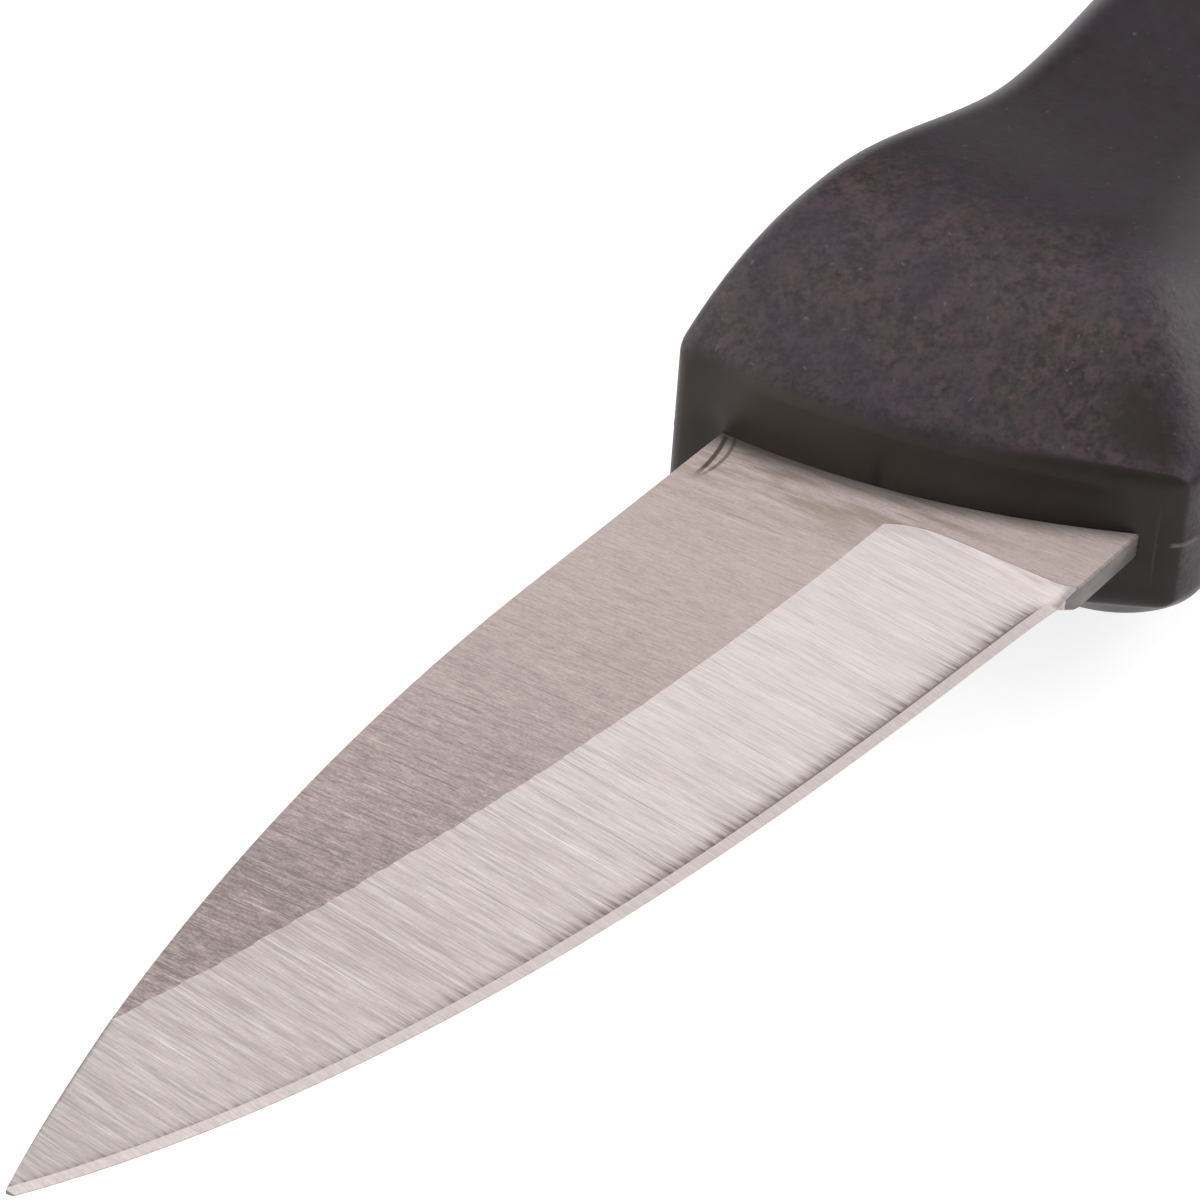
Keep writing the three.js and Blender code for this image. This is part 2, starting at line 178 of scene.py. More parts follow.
def smoothstep(value, low=0.0, high=1.0):
    share = np.clip((value - low) / (high - low), 0.0, 1.0)
    return share * share * (3.0 - 2.0 * share)


def lofted(rings):
    """Points and quads of a row of closed rings, with a fan over each end."""
    count = len(rings[0])
    points = np.concatenate(rings)
    quads = []
    for i in range(len(rings) - 1):
        for j in range(count):
            k = (j + 1) % count
            quads.append((i * count + j, i * count + k, (i + 1) * count + k, (i + 1) * count + j))
    ends = np.array((rings[0].mean(axis=0), rings[-1].mean(axis=0)))
    first, last = len(points), len(points) + 1
    tail = (len(rings) - 1) * count
    fans = []
    for j in range(count):
        k = (j + 1) % count
        fans.append((first, k, j))
        fans.append((last, tail + j, tail + k))
    return np.concatenate((points, ends)), quads, fans


WELD = 1e-7


def finish_mesh(mesh):
    """Drops what has no area, turns the faces out and shades them smooth."""
    work = bmesh.new()
    work.from_mesh(mesh)
    bmesh.ops.remove_doubles(work, verts=work.verts, dist=WELD)
    bmesh.ops.dissolve_degenerate(work, edges=work.edges, dist=WELD)
    bmesh.ops.recalc_face_normals(work, faces=work.faces)
    if work.calc_volume(signed=True) < 0:
        bmesh.ops.reverse_faces(work, faces=work.faces)
    for face in work.faces:
        face.smooth = True
    work.to_mesh(mesh)
    work.free()


def add_piece(name, mesh, node):
    piece = bpy.data.objects.new(name, mesh)
    bpy.context.scene.collection.objects.link(piece)
    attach(piece, "root")
    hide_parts(node)
    return piece


# Blade


def spine_at(x):
    run = BLADE_LENGTH - SPINE_STRAIGHT
    radius = (run**2 + TIP_DROP**2) / (2 * TIP_DROP)
    along = np.maximum(x - SPINE_STRAIGHT, 0.0)
    return radius - np.sqrt(radius**2 - along**2)


def edge_curve():
    heel = np.array(HEEL)
    tip = np.array((BLADE_LENGTH, TIP_DROP + TIP_BLUNT))
    heel_rake = math.radians(HEEL_RAKE_DEG)
    tip_rake = math.radians(TIP_RAKE_DEG)
    heel_control = heel + HEEL_PULL * np.array((math.cos(heel_rake), -math.sin(heel_rake)))
    tip_control = tip + TIP_PULL * np.array((-math.cos(tip_rake), math.sin(tip_rake)))
    t = np.linspace(0.0, 1.0, EDGE_STEPS)[:, None]
    heel_side = (1 - t) ** 3 * heel + 3 * t * (1 - t) ** 2 * heel_control
    tip_side = 3 * t**2 * (1 - t) * tip_control + t**3 * tip
    return heel_side + tip_side


EDGE = edge_curve()


def lower_at(x):
    """The lower outline: the blank's straight edge behind the heel, the cutting edge in front of it."""
    sharp = np.interp(x, EDGE[:, 0], EDGE[:, 1])
    heel = np.interp(HEEL_FRONT, EDGE[:, 0], EDGE[:, 1])
    turn = np.interp(x, (HEEL_BACK, HEEL_FRONT), (BLADE_HEIGHT, heel))
    return np.where(x < HEEL_FRONT, turn, sharp)


def grind_at(x):
    start = np.array((HEEL[0], GRIND_DROP))
    end = np.array((GRIND_RUNOUT, spine_at(GRIND_RUNOUT)))
    chord = end - start
    radius = (chord @ chord) / (8 * GRIND_BELLY) + GRIND_BELLY / 2
    outward = np.array((-chord[1], chord[0])) / np.linalg.norm(chord)
    centre = (start + end) / 2 + (GRIND_BELLY - radius) * outward
    line = centre[1] + np.sqrt(radius**2 - (x - centre[0]) ** 2)
    growth = smoothstep(x, *GRIND_WAVE_GROWTH)
    for height, length, phase in GRIND_WAVES:
        line = line + growth * height * np.sin(2 * math.pi * x / length + phase)
    return line


def plunge_at(y):
    swing = np.clip((PLUNGE_SWEEP_START - y) / (PLUNGE_SWEEP_START - GRIND_DROP), 0.0, 1.0)
    turn = np.clip((y - HEEL_TURN_START) / (BLADE_HEIGHT - HEEL_TURN_START), 0.0, 1.0)
    return PLUNGE_X + PLUNGE_SWEEP * swing**PLUNGE_SWEEP_POWER - HEEL_TURN * turn


def half_thickness(x, y):
    grind = grind_at(x)
    micro = lower_at(x) - MICRO_WIDTH
    ground = BLADE_HALF - (BLADE_HALF - MICRO_HALF) * (y - grind) / (micro - grind)
    sharpened = MICRO_HALF - (MICRO_HALF - EDGE_HALF) * (y - micro) / MICRO_WIDTH
    bevel = np.clip(np.where(y > micro, sharpened, ground), EDGE_HALF, BLADE_HALF)
    share = np.clip((x - plunge_at(y)) / PLUNGE_RUN, 0.0, 1.0)
    hollow = np.interp(y, HOLLOW_FADE, PLUNGE_HOLLOW)
    return bevel + (BLADE_HALF - bevel) * (1 - share) ** hollow


FLAT_ROWS = 12
BEVEL_ROWS = 26
MICRO_ROWS = 4
REAR_COLUMNS = 24
REAR_END = -0.7
PLUNGE_COLUMNS = (-20, 40)  # counted from the plunge, the last one left out
PLUNGE_STEP = 0.05
PLUNGE_PULL = 3.0  # columns follow the plunge line over this length
FRONT_GAP = 0.1
FRONT_COLUMNS = 250
TIP_RUN = 6.0
TIP_COLUMNS = 40
NEAR_ZERO = 1e-6
FLAT, BEVEL, MICRO, CUT = range(4)


def blade_columns():
    """Places of the sections along the blade, closest at the plunge and at the tip."""
    rear = np.linspace(TANG_FRONT, REAR_END, REAR_COLUMNS, endpoint=False)
    plunge = PLUNGE_X + np.arange(*PLUNGE_COLUMNS) * PLUNGE_STEP
    front = np.linspace(plunge[-1] + FRONT_GAP, BLADE_LENGTH - TIP_RUN, FRONT_COLUMNS)
    tip = np.linspace(BLADE_LENGTH - TIP_RUN, BLADE_LENGTH, TIP_COLUMNS + 1)[1:]
    return np.concatenate((rear, plunge, front, tip))


def blade_mesh(materials):
    station = blade_columns()[:, None]
    spine = spine_at(station)
    lower = lower_at(station)
    micro = np.maximum(lower - MICRO_WIDTH, spine)
    grind = np.clip(grind_at(station), spine, micro)
    flat_share = np.linspace(0.0, 1.0, FLAT_ROWS)[None, :]
    bevel_share = np.linspace(0.0, 1.0, BEVEL_ROWS)[None, 1:]
    micro_share = np.linspace(0.0, 1.0, MICRO_ROWS)[None, 1:]
    y = np.concatenate((
        spine + (grind - spine) * flat_share,
        grind + (micro - grind) * bevel_share,
        micro + (lower - micro) * micro_share,
    ), axis=1)
    pull = np.clip(1 - ((station - PLUNGE_X) / PLUNGE_PULL) ** 2, 0.0, 1.0) ** 2
    x = station + (plunge_at(y) - PLUNGE_X) * pull
    z = half_thickness(x, y)

    # Broken corners: one row more along the spine and one along the lower outline
    spine_inset = SPINE_CORNER * z[:, 0] / BLADE_HALF
    lower_inset = LOWER_CORNER * z[:, -1] / BLADE_HALF
    spine_row = np.stack((x[:, 0], y[:, 0], z[:, 0] - spine_inset), axis=1)
    lower_row = np.stack((x[:, -1], y[:, -1], z[:, -1] - lower_inset), axis=1)
    y[:, 0] += spine_inset
    y[:, -1] -= lower_inset
    y = np.maximum.accumulate(y, axis=1)
    left = np.concatenate((spine_row[:, None], np.stack((x, y, z), axis=2), lower_row[:, None]), axis=1)
    right = left[:, ::-1] * np.array((1.0, 1.0, -1.0))
    rings = list(np.concatenate((left, right), axis=1))
    points, quads, fans = lofted(rings)

    rows = left.shape[1]
    grind_row = FLAT_ROWS
    micro_row = grind_row + BEVEL_ROWS - 1
    count = 2 * rows
    columns = blade_columns()
    zones = []
    for index in range(len(quads)):
        i, j = divmod(index, count)
        row = j if j < rows else count - 2 - j
        ahead = columns[i] >= PLUNGE_X - NEAR_ZERO
        if j == rows - 1 and columns[i] > HEEL_FRONT:
            zone = MICRO
        elif j in (rows - 1, count - 1):
            zone = CUT
        elif row < grind_row:
            zone = FLAT if columns[i] < GRIND_RUNOUT else BEVEL
        elif not ahead:
            zone = FLAT
        else:
            zone = BEVEL if row < micro_row else MICRO
        zones.append(zone)

    tang = tang_box()
    offset = len(points)
    faces = quads + fans + [tuple(offset + k for k in face) for face in tang[1]]
    mesh = bpy.data.meshes.new("blade_steel")
    all_points = np.concatenate((points, tang[0]))
    mesh.from_pydata(in_metres(all_points).tolist(), [], faces)
    for material in materials:
        mesh.materials.append(material)
    face_zones = zones + [CUT] * (len(faces) - len(zones))
    mesh.polygons.foreach_set("material_index", face_zones)

    # Stroke coordinates: u along the blade, square to the strokes, and v across it
    # A second map holds the distance in front of the plunge line
    for name in ("strokes", "plunge"):
        mesh.uv_layers.new(name=name)
    strokes, plunges = mesh.uv_layers["strokes"], mesh.uv_layers["plunge"]
    ahead_of_plunge = all_points[:, 0] - plunge_at(all_points[:, 1])
    flat_skew = math.tan(math.radians(FLAT_SKEW_DEG))
    bevel_skew = math.tan(math.radians(BEVEL_SKEW_DEG))
    micro_line = lower_at(all_points[:, 0]) - MICRO_WIDTH
    for polygon in mesh.polygons:
        zone = polygon.material_index
        for loop in polygon.loop_indices:
            vertex = mesh.loops[loop].vertex_index
            px, py, pz = all_points[vertex]
            if zone == FLAT:
                uv = (px - flat_skew * py, py)
            elif zone == BEVEL:
                uv = (px - bevel_skew * py, micro_line[vertex] - py)
            elif zone == MICRO:
                uv = (px, micro_line[vertex] - py)
            else:
                uv = (px, pz + py)
            strokes.data[loop].uv = uv
            plunges.data[loop].uv = (ahead_of_plunge[vertex], py)

    # The grind line, the sharpened band, the plunge and the corners stay crisp
    crisp_rows = {1, grind_row, micro_row, rows - 2}
    crisp_rows |= {count - 1 - row for row in crisp_rows}
    plunge_column = int(np.argmin(np.abs(columns - PLUNGE_X)))
    crisp = set()
    for i in range(len(rings) - 1):
        for row in crisp_rows:
            crisp.add((i * count + row, (i + 1) * count + row))
    for j in range(count - 1):
        row = j if j < rows else count - 2 - j
        if row >= grind_row:
            crisp.add((plunge_column * count + j, plunge_column * count + j + 1))
    for edge in mesh.edges:
        if tuple(sorted(edge.vertices)) in crisp:
            edge.use_edge_sharp = True
    finish_mesh(mesh)
    return mesh


def tang_box():
    """The tang behind the shoulder, hidden in the handle."""
    corners = []
    for x in (TANG_FRONT, TANG_REAR):
        for y in (TANG_TOP, TANG_BOTTOM):
            for z in (-BLADE_HALF, BLADE_HALF):
                corners.append((x, y, z))
    faces = [(0, 1, 3, 2), (4, 6, 7, 5), (0, 4, 5, 1), (2, 3, 7, 6), (0, 2, 6, 4), (1, 5, 7, 3)]
    return np.array(corners), faces


# Handle


def section_sizes(back):
    i = int(np.clip(np.searchsorted(STATION_BACK, back, side="right") - 1, 0, len(STATION_BACK) - 2))
    length = STATION_BACK[i + 1] - STATION_BACK[i]
    share = float(np.clip((back - STATION_BACK[i]) / length, 0.0, 1.0))
    eased = float(smoothstep(share))
    sizes = {}
    for name, values in SECTIONS.items():
        sizes[name] = values[i] + (values[i + 1] - values[i]) * eased
        if i == 0:
            sizes[name] += NOSE_SLOPES.get(name, 0.0) * length * share * (1 - share) ** 2
    return sizes


def lean_at(y):
    return NOSE_LEAN * (np.maximum(y, 0.0) / BLADE_HEIGHT) ** NOSE_LEAN_POWER


def front_at(y, z):
    """How far behind the nose the front face lies: it is dished a little round the blade."""
    mouth = MOUTH_DROP + MOUTH_LEAN * (np.maximum(y, 0.0) / BLADE_HEIGHT) ** MOUTH_LEAN_POWER
    beyond = np.maximum(np.maximum(-y, y - BLADE_HEIGHT), 0.0)
    away = np.hypot(np.maximum(np.abs(z) - BLADE_HALF, 0.0), beyond)
    return mouth + (lean_at(y) - mouth) * smoothstep(away / MOUTH_REACH)


RIDGE_STEPS = 5
EDGE_FLAT_STEPS = 6
SPINE_ARC_STEPS = 14
EDGE_ARC_STEPS = 22
SIDE_STEPS = 48
DOME_STEPS = 24
RIM_STEPS = 9
FACE_STEPS = 13
SKIN_STEP = 0.6
INNER_STEP = 2.0
GRIP_CREASE_DEG = 50
CORE_CREASE_DEG = 35


def handle_ring(back, inset):
    """One ring round the handle, from the mid-plane on the spine side down the left and up the right."""
    sizes = section_sizes(back)
    top = sizes["top"] + inset
    bottom = sizes["bottom"] - inset
    half = sizes["spine_half"] - inset
    taper = (sizes["edge_half"] - inset) / half
    most = min(half, (bottom - top) / 2) - LEAST_ROUND
    spine_round = float(np.clip(sizes["spine_round"] - inset, LEAST_ROUND, most))
    edge_round = float(np.clip(sizes["edge_round"] - inset, LEAST_ROUND, most))
    edge_rise = max(sizes["edge_rise"] - inset, LEAST_ROUND)

    ridge_z = np.linspace(0.0, RIDGE_HALF, RIDGE_STEPS)
    ridge = RIDGE_HEIGHT * (1 - smoothstep(ridge_z / RIDGE_HALF)) * (1 - smoothstep(inset / SEAM_INSET))
    spine_flat = np.linspace(RIDGE_HALF, half - spine_round, EDGE_FLAT_STEPS)[1:-1]
    edge_flat = np.linspace(half - edge_round, RIDGE_HALF, EDGE_FLAT_STEPS)[1:-1]
    spine_angle = np.linspace(math.pi, math.pi / 2, SPINE_ARC_STEPS)
    edge_angle = np.linspace(math.pi / 2, 0.0, EDGE_ARC_STEPS)
    side = np.linspace(top + spine_round, bottom - edge_rise, SIDE_STEPS)[1:-1]
    y = np.concatenate((
        top - ridge * SPINE_RIDGE_SHARE,
        np.full_like(spine_flat, top),
        top + spine_round + spine_round * np.cos(spine_angle),
        side,
        bottom - edge_rise + edge_rise * np.cos(edge_angle),
        np.full_like(edge_flat, bottom),
        bottom + ridge[::-1],
    ))
    z = np.concatenate((
        ridge_z,
        spine_flat,
        half - spine_round + spine_round * np.sin(spine_angle),
        np.full_like(side, half),
        half - edge_round + edge_round * np.sin(edge_angle),
        edge_flat,
        ridge_z[::-1],
    ))
    dome_share = float(np.clip((back - DOME_START) / (BUTT_ROUND - inset), 0.0, 1.0))
    shrink = (1 - dome_share**BUTT_DOME_POWER) ** (1 / BUTT_DOME_POWER)
    middle = (top + bottom) / 2
    fade = max(1 - back / NOSE_LEAN_FADE, 0.0) ** 2
    x = -back - lean_at(y) * fade
    z = np.minimum(z * np.interp(y, (top, bottom), (1.0, taper)) * shrink, HANDLE_HALF)
    y = np.clip(middle + (y - middle) * shrink, HANDLE_TOP, HANDLE_BOTTOM)
    left = np.stack((x, y, z), axis=1)
    right = left[-2:0:-1] * np.array((1.0, 1.0, -1.0))
    return np.concatenate((left, right))


def run_places(start, step, inset):
    """Places of the rings from a start back to the butt, closer over the dome."""
    straight = np.linspace(start, DOME_START, math.ceil((DOME_START - start) / step) + 1)
    dome = DOME_START + (BUTT_ROUND - inset) * np.sin(np.linspace(0.0, math.pi / 2, DOME_STEPS + 1))[1:]
    return np.concatenate((straight, dome))


def skin_at(back):
    return SEAM_INSET + (SKIN - SEAM_INSET) * float(smoothstep(back / SKIN_RUN))


SEAM_ANGLE = math.asin(1 - SEAM_INSET / RIM_ROUND)
SEAM_BACK = RIM_ROUND * (1 - math.cos(SEAM_ANGLE))


def inner_rings(play):
    """The meeting surface of skin and core, from the nose to the butt."""
    rings = []
    for back in run_places(SEAM_BACK, INNER_STEP, SKIN + play):
        rings.append(handle_ring(back, skin_at(back) + play))
    return rings


def grip_mesh(material):
    rings = inner_rings(0.0)[::-1]
    for angle in np.linspace(SEAM_ANGLE, math.pi / 2, RIM_STEPS + 1)[1:]:
        back = RIM_ROUND * (1 - math.cos(angle))
        rings.append(handle_ring(back, RIM_ROUND * (1 - math.sin(angle))))
    for back in run_places(RIM_ROUND, SKIN_STEP, 0.0)[1:]:
        rings.append(handle_ring(back, 0.0))
    points, quads, fans = lofted(rings)
    mesh = bpy.data.meshes.new("grip_skin")
    mesh.from_pydata(in_metres(points).tolist(), [], quads + fans)
    mesh.materials.append(material)
    finish_mesh(mesh)
    mesh.set_sharp_from_angle(angle=math.radians(GRIP_CREASE_DEG))
    return mesh


def core_mesh(material):
    rings = inner_rings(FIT)[::-1]
    rim = handle_ring(SEAM_BACK, SEAM_INSET)
    rings[-1] = rim
    slot = rim.copy()
    slot[:, 1] = np.clip(rim[:, 1], -FIT, BLADE_HEIGHT + FIT)
    slot[:, 2] = np.clip(rim[:, 2], -BLADE_HALF - FIT, BLADE_HALF + FIT)
    for share in np.linspace(0.0, 1.0, FACE_STEPS + 1)[1:]:
        ring = rim + (slot - rim) * share
        ring[:, 0] = -front_at(ring[:, 1], ring[:, 2])
        rings.append(ring)
    mouth = rings[-1]
    shoulder = mouth.copy()
    shoulder[:, 0] = TANG_FRONT - FIT
    pocket = shoulder.copy()
    pocket[:, 1] = np.clip(shoulder[:, 1], TANG_TOP - FIT, TANG_BOTTOM + FIT)
    end = pocket.copy()
    end[:, 0] = TANG_REAR - FIT
    rings += [shoulder, pocket, end]
    points, quads, fans = lofted(rings)
    mesh = bpy.data.meshes.new("core_nose")
    mesh.from_pydata(in_metres(points).tolist(), [], quads + fans)
    mesh.materials.append(material)
    finish_mesh(mesh)
    mesh.set_sharp_from_angle(angle=math.radians(CORE_CREASE_DEG))
    return mesh


# Materials


MIX_COLOUR_INPUTS = (0, 6, 7)  # a mix node's sockets for colours
MIX_COLOUR_OUTPUT = 2


class Shader:
    """One material whose nodes are added and joined by name."""

    def __init__(self, name):
        self.material = bpy.data.materials.new(name)
        self.material.use_nodes = True
        self.tree = self.material.node_tree
        self.surface = self.tree.nodes["Principled BSDF"]

    def add(self, kind, **settings):
        node = self.tree.nodes.new(kind)
        for name, value in settings.items():
            setattr(node, name, value)
        return node

    def feed(self, socket, source):
        if isinstance(source, bpy.types.NodeSocket):
            self.tree.links.new(source, socket)
        else:
            socket.default_value = source

    def math(self, operation, *sources, clamp=False):
        node = self.add("ShaderNodeMath", operation=operation, use_clamp=clamp)
        for socket, source in zip(node.inputs, sources):
            self.feed(socket, source)
        return node.outputs[0]

    def noise(self, vector, scale, detail=2.0, roughness=0.5, dimensions="3D"):
        node = self.add("ShaderNodeTexNoise", noise_dimensions=dimensions)
        self.feed(node.inputs["Vector"], vector)
        node.inputs["Scale"].default_value = scale
        node.inputs["Detail"].default_value = detail
        node.inputs["Roughness"].default_value = roughness
        return node.outputs[0]

    def stretched(self, vector, across, along):
        node = self.add("ShaderNodeVectorMath", operation="MULTIPLY")
        self.feed(node.inputs[0], vector)
        node.inputs[1].default_value = (across, along, 1.0)
        return node.outputs[0]

    def ramp(self, source, low, high, to_low=0.0, to_high=1.0):
        node = self.add("ShaderNodeMapRange", interpolation_type="SMOOTHSTEP")
        self.feed(node.inputs["Value"], source)
        node.inputs["From Min"].default_value = low
        node.inputs["From Max"].default_value = high
        node.inputs["To Min"].default_value = to_low
        node.inputs["To Max"].default_value = to_high
        return node.outputs["Result"]

    def blend(self, factor, first, second):
        node = self.add("ShaderNodeMix", data_type="RGBA")
        factor_socket, first_socket, second_socket = (node.inputs[i] for i in MIX_COLOUR_INPUTS)
        self.feed(factor_socket, factor)
        self.feed(first_socket, first)
        self.feed(second_socket, second)
        return node.outputs[MIX_COLOUR_OUTPUT]

    def bump(self, height, distance, strength):
        node = self.add("ShaderNodeBump")
        self.feed(node.inputs["Height"], height)
        node.inputs["Distance"].default_value = distance
        node.inputs["Strength"].default_value = strength
        return node.outputs["Normal"]


FLAT_SKEW_DEG = -2.0  # strokes lean this much from square to the spine
BEVEL_SKEW_DEG = 2.5

FLAT_LIGHT = (0.6864, 0.5772, 0.5481, 1.0)
FLAT_DARK = (0.2912, 0.2413, 0.2371, 1.0)
BEVEL_LIGHT = (0.8528, 0.7821, 0.7665, 1.0)
BEVEL_DARK = (0.485, 0.430, 0.424, 1.0)
MICRO_LIGHT = (0.7344, 0.663, 0.6528, 1.0)
MICRO_DARK = (0.5712, 0.5049, 0.4947, 1.0)
# the sheared face's colours are darkened as painted shade
CUT_SHADED_LIGHT = (0.29, 0.255, 0.258, 1.0)
CUT_SHADED_DARK = (0.15, 0.13, 0.134, 1.0)
CUT_STROKES = (0.6, 2.0)
CUT_ROUGHNESS = 0.5
# colour of the burrs, also of the painted shadow line along the sharpened band
BURR_AND_SHADOW = (0.15, 0.105, 0.096, 1.0)
# dark colour of the scratches, also used for the painted shade by the handle and beside the plunge
SCRATCH_AND_SHADE_DARK = (0.05, 0.042, 0.04, 1.0)
TARNISH = (0.25, 0.20, 0.145, 1.0)

# Finishes: reach of the strokes, unevenness, and contrast and level at the heel and at the tip; the level's
# fall towards the tip is a painted reflection
FLAT_FINISH = (0.8, 0.25, (0.45, 0.58), (0.95, 0.2))
BEVEL_FINISH = (2.2, 0.1, (0.7, 0.6), (0.92, 0.21))
MICRO_FINISH = (1.0, 0.2, (0.6, 0.55), (0.8, 0.45))

# Brushing: scales across and along the strokes, and weights in the tone
STEEL_ROUGHNESS = 0.58
STEEL_ROUGHNESS_SPREAD = 0.05
STEEL_ROUGHNESS_TONES = (0.2, 0.8)
STEEL_ANISOTROPY = 0.9
FINE_STROKES = (6.5, 0.9)
FINE_WEIGHT = 1.1
MEDIUM_STROKES = (2.3, 0.25)
MEDIUM_WEIGHT = 0.6
BROAD_STROKES = (0.45, 0.14)
STEEL_CLOUD = (0.09, 0.07)
SPECKLE = (9.0, 5.0)
SPECKLE_WEIGHT = 0.5
DEEP_STROKES = (4.6, 0.09)
DEEP_RANGE = (0.66, 0.78)
DEEP_WEIGHT = -0.45
GLEAM_STROKES = (4.3, 0.11)
GLEAM_RANGE = (0.68, 0.82)
GLEAM_WEIGHT = 0.4
HEEL_TO_TIP = (8.0, 56.0)
STROKE_RELIEF = 0.02
STROKE_RELIEF_STRENGTH = 0.2

# Unground cheek: scratches by the handle (curve, span, width, strength), tarnish, painted shade and
# reflection of the handle where the steel goes in, and a painted shadow line beside the plunge
SCRATCHES = (
    ((0.45, 0.33, -0.043), (-0.3, 4.4), 0.19, 0.85),
    ((1.02, 0.41, -0.087), (-0.4, 4.4), 0.14, 0.6),
)
SCRATCH_CORE = 0.4
SCRATCH_START = 0.2
SCRATCH_END = 1.6
TARNISH_STREAKS = (0.9, 0.16)
TARNISH_RANGE = (0.35, 0.7)
TARNISH_RUN = (0.5, 9.0)
TARNISH_MOST = 0.7
TARNISH_FADE = (13.0, 20.0)
TARNISH_LEFT = 0.25
JUNCTION_SHADE_RUN = 2.2
JUNCTION_SHADE_MOST = 0.8
PLUNGE_SHADOW = (-0.14, -0.02)
PLUNGE_SHADOW_MOST = 0.3
PLUNGE_SHADOW_START = 0.3

# Bevel: burrs above the sharpened band, a painted shadow line along it, and painted shade in the hollow of
# the plunge
BURR_COMB = (2.6, 0.06)
BURR_RANGE = (0.32, 0.72)
BURR_GROUPS = (0.4, 0.02)
BURR_GROUP_RANGE = (0.3, 0.7)
BURR_LENGTHS = (2.0, 5.6)
BURR_SHORTEST = 0.5
BURR_SHORTER = (26.0, 58.0)
BURR_TIP_SHARE = 0.2
BURR_FADE_POWER = 2.6
BURR_STRENGTH = 0.66
BURR_ROOT_HEIGHT = 0.9
BURR_ROOT_MOST = 0.35
BURR_ROOT_RUN = (30.0, 50.0)
BURR_SHADOW_LINE = (0.05, 0.32)
BURR_SHADOW_LINE_MOST = 0.78
BURR_SHADOW_LINE_RUN = (18.0, 52.0)
BURR_START = (0.2, 2.2)
HOLLOW_SHADE_BAND = (0.5, 1.3)
HOLLOW_PAINTED_SHADE = 0.42


def uv_of(shader, name):
    return shader.add("ShaderNodeUVMap", uv_map=name).outputs["UV"]


def stroke_noise(shader, uv, scales, detail=2.0, roughness=0.6, reach=1.0):
    """Noise drawn out into strokes, whose length grows with the reach."""
    stretched = shader.stretched(uv, scales[0], scales[1] / reach)
    return shader.noise(stretched, 1.0, detail, roughness, "2D")


def layered(shader, start, *layers):
    """Adds centred noises to a start value, each with its weight."""
    tone = start
    for source, weight in layers:
        tone = shader.math("MULTIPLY_ADD", shader.math("SUBTRACT", source, 0.5), weight, tone)
    return tone


def split(shader, vector):
    node = shader.add("ShaderNodeSeparateXYZ")
    shader.feed(node.inputs[0], vector)
    return node.outputs


def steel(name, light, dark, reach, uneven, heel, tip):
    """Brushed steel: strokes of three widths across the blade, and single deep scratches.

    Strokes have a given reach and the surface is uneven by a given share. Contrast and level are given for
    the heel and for the tip; the level falls towards the tip as a painted reflection.
    """
    shader = Shader(name)
    uv = uv_of(shader, "strokes")
    fine = stroke_noise(shader, uv, FINE_STROKES, reach=reach)
    medium = stroke_noise(shader, uv, MEDIUM_STROKES, reach=reach)
    broad = stroke_noise(shader, uv, BROAD_STROKES, 2.0, 0.5, reach)
    cloud = stroke_noise(shader, uv, STEEL_CLOUD, 2.0, 0.5)
    speckle = stroke_noise(shader, uv, SPECKLE, 1.0, 0.5)
    layers = (
        (fine, FINE_WEIGHT),
        (medium, MEDIUM_WEIGHT),
        (broad, uneven),
        (cloud, uneven),
        (speckle, SPECKLE_WEIGHT / reach),
    )
    tone = layered(shader, 0.0, *layers)
    deep = shader.ramp(stroke_noise(shader, uv, DEEP_STROKES, 1.0, 0.5, reach), *DEEP_RANGE)
    gleam = shader.ramp(stroke_noise(shader, uv, GLEAM_STROKES, 1.0, 0.5, reach), *GLEAM_RANGE)
    tone = shader.math("MULTIPLY_ADD", deep, DEEP_WEIGHT, tone)
    tone = shader.math("MULTIPLY_ADD", gleam, GLEAM_WEIGHT, tone)
    along = split(shader, uv)[0]
    contrast = shader.ramp(along, *HEEL_TO_TIP, heel[0], tip[0])
    # the steel's own tone at the heel, darkening towards the tip as a painted reflection
    level = shader.ramp(along, *HEEL_TO_TIP, heel[1], tip[1])
    tone = shader.math("MULTIPLY_ADD", tone, contrast, level, clamp=True)
    colour = shader.blend(tone, dark, light)
    surface = shader.surface
    surface.inputs["Metallic"].default_value = 1.0
    surface.inputs["Anisotropic"].default_value = STEEL_ANISOTROPY
    most = STEEL_ROUGHNESS + STEEL_ROUGHNESS_SPREAD
    least = STEEL_ROUGHNESS - STEEL_ROUGHNESS_SPREAD
    shader.feed(surface.inputs["Roughness"], shader.ramp(tone, *STEEL_ROUGHNESS_TONES, most, least))
    relief = shader.bump(medium, STROKE_RELIEF * MM, STROKE_RELIEF_STRENGTH)
    shader.feed(surface.inputs["Normal"], relief)
    tangent = shader.add("ShaderNodeTangent", direction_type="UV_MAP", uv_map="strokes")
    shader.feed(surface.inputs["Tangent"], tangent.outputs["Tangent"])
    return shader, uv, colour


def arc_mark(shader, along, across, curve, span, width):
    """A thin curved scratch: the distance from a parabola, faded at both ends of its span."""
    rise, slope, bend = curve
    line = shader.math("MULTIPLY_ADD", along, bend, slope)
    line = shader.math("MULTIPLY_ADD", line, along, rise)
    away = shader.math("ABSOLUTE", shader.math("SUBTRACT", across, line))
    mark = shader.ramp(away, width * SCRATCH_CORE, width, 1.0, 0.0)
    starting = shader.ramp(along, span[0] - SCRATCH_START, span[0] + SCRATCH_START)
    ending = shader.ramp(along, span[1] - SCRATCH_END, span[1], 1.0, 0.0)
    mark = shader.math("MULTIPLY", mark, starting)
    return shader.math("MULTIPLY", mark, ending)


